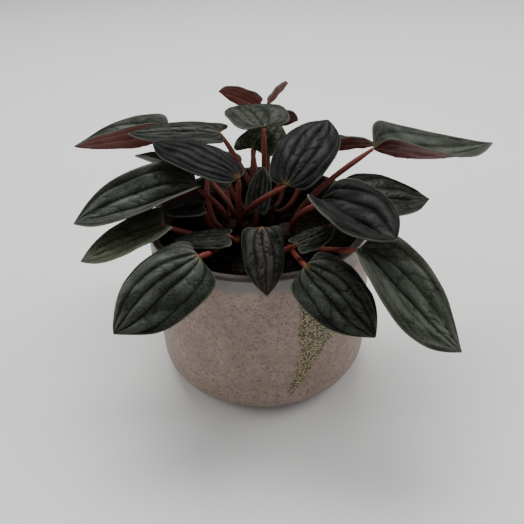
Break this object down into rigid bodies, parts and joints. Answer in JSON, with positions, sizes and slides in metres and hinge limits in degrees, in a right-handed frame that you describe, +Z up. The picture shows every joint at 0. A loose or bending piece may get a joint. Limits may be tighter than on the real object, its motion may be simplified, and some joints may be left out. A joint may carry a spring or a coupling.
{
  "type": "potted peperomia",
  "caption": "Potted peperomia: a round glazed pot of soil with short crowns carrying heart-shaped ridged dark leaves, maroon beneath, on reddish stalks.",
  "frame": {"origin": "centre of the pot's flat base, on the surface it stands on", "axes": "+Z up the pot's axis, -Y towards the side with the three large drooping front leaves, +X to that side's right"},
  "size_m": [0.2089, 0.166, 0.1161],
  "materials": {
    "pot_glaze": "satin",
    "soil": "matte",
    "crown": "matte",
    "leaf": "satin",
    "stalk": "satin"
  },
  "bodies": {
    "root": {"crown_back": "crown", "crown_left": "crown", "crown_right": "crown", "leaf_back_inner": "leaf", "leaf_back_left": "leaf", "leaf_back_left_low": "leaf", "leaf_back_right": "leaf", "leaf_back_right_low": "leaf", "leaf_back_small": "leaf", "leaf_back_top": "leaf", "leaf_back_twin_left": "leaf", "leaf_back_twin_right": "leaf", "leaf_centre_bud": "leaf", "leaf_centre_domed": "leaf", "leaf_front": "leaf", "leaf_front_left": "leaf", "leaf_front_left_small": "leaf", "leaf_front_right": "leaf", "leaf_front_right_small": "leaf", "leaf_left_bud": "leaf", "leaf_left_high": "leaf", "leaf_left_inner": "leaf", "leaf_left_low": "leaf", "leaf_left_middle": "leaf", "leaf_left_small": "leaf", "leaf_right_high": "leaf", "leaf_right_inner": "leaf", "leaf_right_low": "leaf", "leaf_right_middle": "leaf", "leaf_upright": "leaf", "pot": "pot_glaze", "soil": "soil", "stalk_back_inner": "stalk", "stalk_back_left": "stalk", "stalk_back_left_low": "stalk", "stalk_back_right": "stalk", "stalk_back_right_low": "stalk", "stalk_back_small": "stalk", "stalk_back_top": "stalk", "stalk_back_twin_left": "stalk", "stalk_back_twin_right": "stalk", "stalk_centre_bud": "stalk", "stalk_centre_domed": "stalk", "stalk_front": "stalk", "stalk_front_left": "stalk", "stalk_front_left_small": "stalk", "stalk_front_right": "stalk", "stalk_front_right_small": "stalk", "stalk_left_bud": "stalk", "stalk_left_high": "stalk", "stalk_left_inner": "stalk", "stalk_left_low": "stalk", "stalk_left_middle": "stalk", "stalk_left_small": "stalk", "stalk_right_high": "stalk", "stalk_right_inner": "stalk", "stalk_right_low": "stalk", "stalk_right_middle": "stalk", "stalk_upright": "stalk"}
  },
  "joints": []
}
